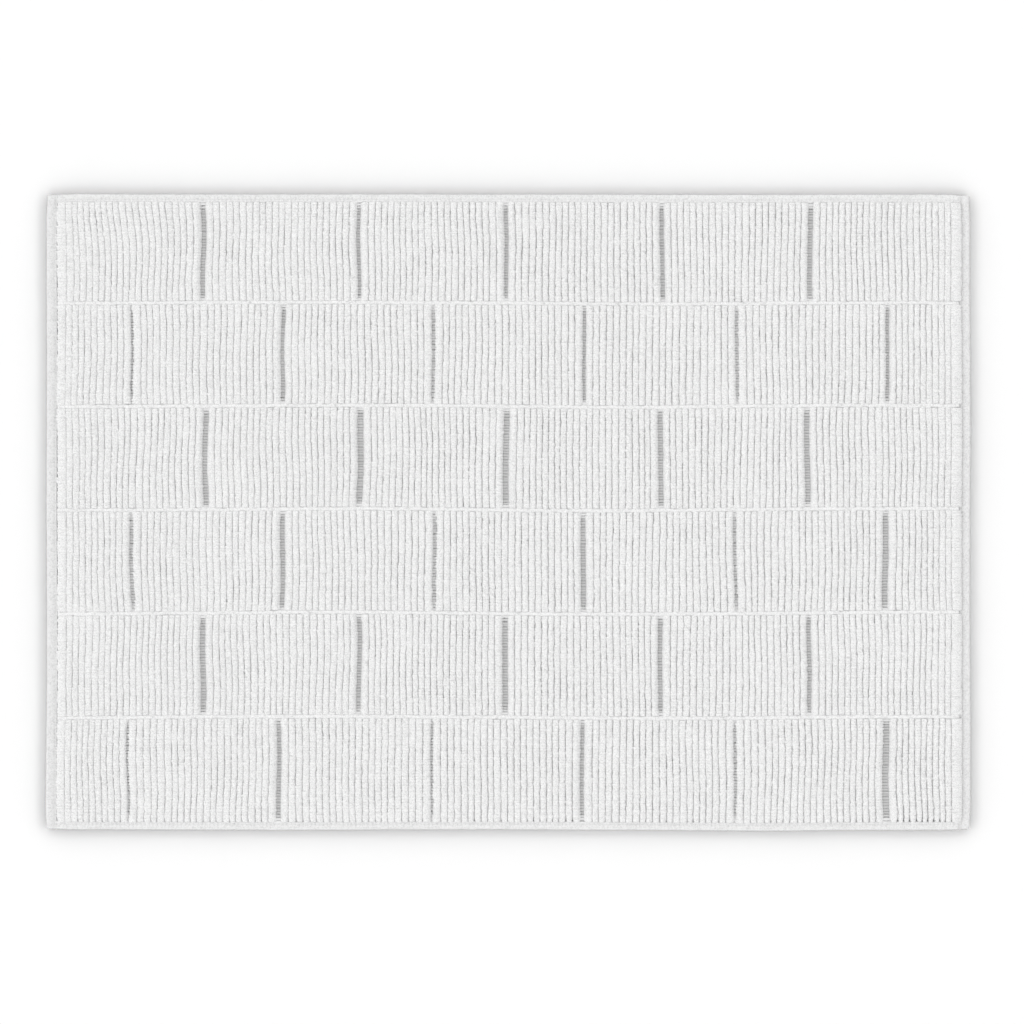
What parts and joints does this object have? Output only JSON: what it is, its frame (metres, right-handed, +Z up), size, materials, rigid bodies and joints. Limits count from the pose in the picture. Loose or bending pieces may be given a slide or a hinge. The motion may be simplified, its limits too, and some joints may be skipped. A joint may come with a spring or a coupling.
{
  "type": "bath mat",
  "caption": "Rectangular white cotton terry bath mat with ribbed pile in a running-bond brick pattern, pile-free channels, row ridges and turned, lockstitched hems.",
  "frame": {"origin": "under the middle of the mat, on the floor that it lies on", "axes": "+X along the long side to the right, +Y along the short side to the back, +Z up through the pile"},
  "size_m": [0.8, 0.55, 0.0067],
  "materials": {
    "ground_weave": "matte",
    "loop_pile": "matte",
    "ridge_pile": "matte",
    "hem_weave": "matte",
    "sewing_thread": "matte"
  },
  "bodies": {
    "root": {"back_hem": "hem_weave", "back_hem_bobbin_thread": "sewing_thread", "back_hem_needle_thread": "sewing_thread", "front_hem": "hem_weave", "front_hem_bobbin_thread": "sewing_thread", "front_hem_needle_thread": "sewing_thread", "ground_cloth": "ground_weave", "left_hem": "hem_weave", "left_hem_bobbin_thread": "sewing_thread", "left_hem_needle_thread": "sewing_thread", "pile_row1_block1": "loop_pile", "pile_row1_block2": "loop_pile", "pile_row1_block3": "loop_pile", "pile_row1_block4": "loop_pile", "pile_row1_block5": "loop_pile", "pile_row1_block6": "loop_pile", "pile_row2_block1": "loop_pile", "pile_row2_block2": "loop_pile", "pile_row2_block3": "loop_pile", "pile_row2_block4": "loop_pile", "pile_row2_block5": "loop_pile", "pile_row2_block6": "loop_pile", "pile_row2_block7": "loop_pile", "pile_row3_block1": "loop_pile", "pile_row3_block2": "loop_pile", "pile_row3_block3": "loop_pile", "pile_row3_block4": "loop_pile", "pile_row3_block5": "loop_pile", "pile_row3_block6": "loop_pile", "pile_row4_block1": "loop_pile", "pile_row4_block2": "loop_pile", "pile_row4_block3": "loop_pile", "pile_row4_block4": "loop_pile", "pile_row4_block5": "loop_pile", "pile_row4_block6": "loop_pile", "pile_row4_block7": "loop_pile", "pile_row5_block1": "loop_pile", "pile_row5_block2": "loop_pile", "pile_row5_block3": "loop_pile", "pile_row5_block4": "loop_pile", "pile_row5_block5": "loop_pile", "pile_row5_block6": "loop_pile", "pile_row6_block1": "loop_pile", "pile_row6_block2": "loop_pile", "pile_row6_block3": "loop_pile", "pile_row6_block4": "loop_pile", "pile_row6_block5": "loop_pile", "pile_row6_block6": "loop_pile", "pile_row6_block7": "loop_pile", "right_hem": "hem_weave", "right_hem_bobbin_thread": "sewing_thread", "right_hem_needle_thread": "sewing_thread", "row_ridge_1": "ridge_pile", "row_ridge_2": "ridge_pile", "row_ridge_3": "ridge_pile", "row_ridge_4": "ridge_pile", "row_ridge_5": "ridge_pile"}
  },
  "joints": []
}
